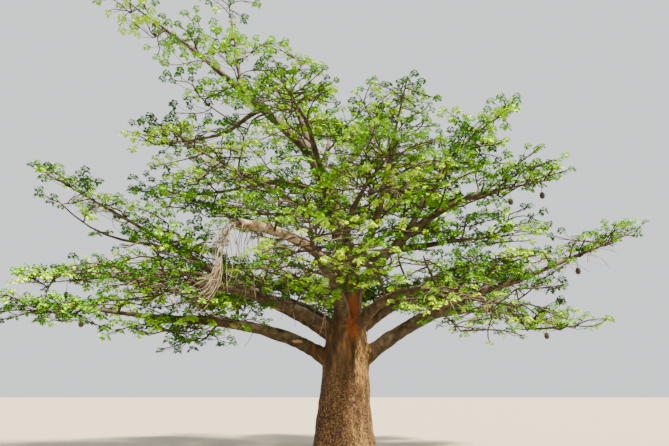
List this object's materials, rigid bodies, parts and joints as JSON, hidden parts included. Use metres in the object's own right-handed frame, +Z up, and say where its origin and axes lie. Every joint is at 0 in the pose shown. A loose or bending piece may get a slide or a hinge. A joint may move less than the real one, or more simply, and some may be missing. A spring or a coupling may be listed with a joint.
{
  "type": "baobab tree",
  "caption": "Wide old baobab in full leaf: stout flared trunk, low spreading boughs, a leader that leans left, and an open crown of leaf sprays.",
  "frame": {"origin": "on the level ground, in the middle of the flat cut under the trunk", "axes": "+Z up; +X to the tree's right as seen from its front; +Y from the front to the back"},
  "size_m": [18.7828, 15.3989, 15.2217],
  "materials": {
    "trunk_bark": "rough pitted bark, mottled tan and golden brown",
    "bough_bark": "dull grey-brown bark",
    "leaves": "soft matt leaves, bright yellow-green",
    "dead_twigs": "bare weathered wood, pale grey"
  },
  "bodies": {
    "root": {"trunk": "trunk_bark", "leader": "bough_bark", "bough_low_left": "bough_bark", "bough_left_high": "bough_bark", "bough_left_far": "bough_bark", "bough_front_left": "bough_bark", "bough_broken": "bough_bark", "bough_front": "bough_bark", "bough_front_right": "bough_bark", "bough_low_right": "bough_bark", "bough_under_right": "bough_bark", "bough_right_mid": "bough_bark", "bough_right_up": "bough_bark", "bough_right_side": "bough_bark", "bough_right_upright": "bough_bark", "bough_left_lateral": "bough_bark", "bough_top_left": "bough_bark", "bough_top_left_side": "bough_bark", "bough_top_left_up": "bough_bark", "bough_top_middle": "bough_bark", "bough_top_right": "bough_bark", "bough_top_back": "bough_bark", "bough_top_front": "bough_bark", "bough_back_right": "bough_bark", "bough_back": "bough_bark", "bough_back_left": "bough_bark", "bough_back_right_mid": "bough_bark", "bough_right_back": "bough_bark", "bough_back_left_mid": "bough_bark", "bough_front_left_mid": "bough_bark", "bough_front_mid": "bough_bark", "foliage_low_left": "leaves", "foliage_left_high": "leaves", "foliage_left_far": "leaves", "foliage_front_left": "leaves", "twigs_broken": "dead_twigs", "foliage_front": "leaves", "foliage_front_right": "leaves", "foliage_low_right": "leaves", "foliage_under_right": "leaves", "foliage_right_mid": "leaves", "foliage_right_up": "leaves", "foliage_right_side": "leaves", "foliage_right_upright": "leaves", "foliage_left_lateral": "leaves", "foliage_top_left": "leaves", "foliage_top_left_side": "leaves", "foliage_top_left_up": "leaves", "foliage_top_middle": "leaves", "foliage_top_right": "leaves", "foliage_top_back": "leaves", "foliage_top_front": "leaves", "foliage_back_right": "leaves", "foliage_back": "leaves", "foliage_back_left": "leaves", "foliage_back_right_mid": "leaves", "foliage_right_back": "leaves", "foliage_back_left_mid": "leaves", "foliage_front_left_mid": "leaves", "foliage_front_mid": "leaves"}
  },
  "joints": []
}
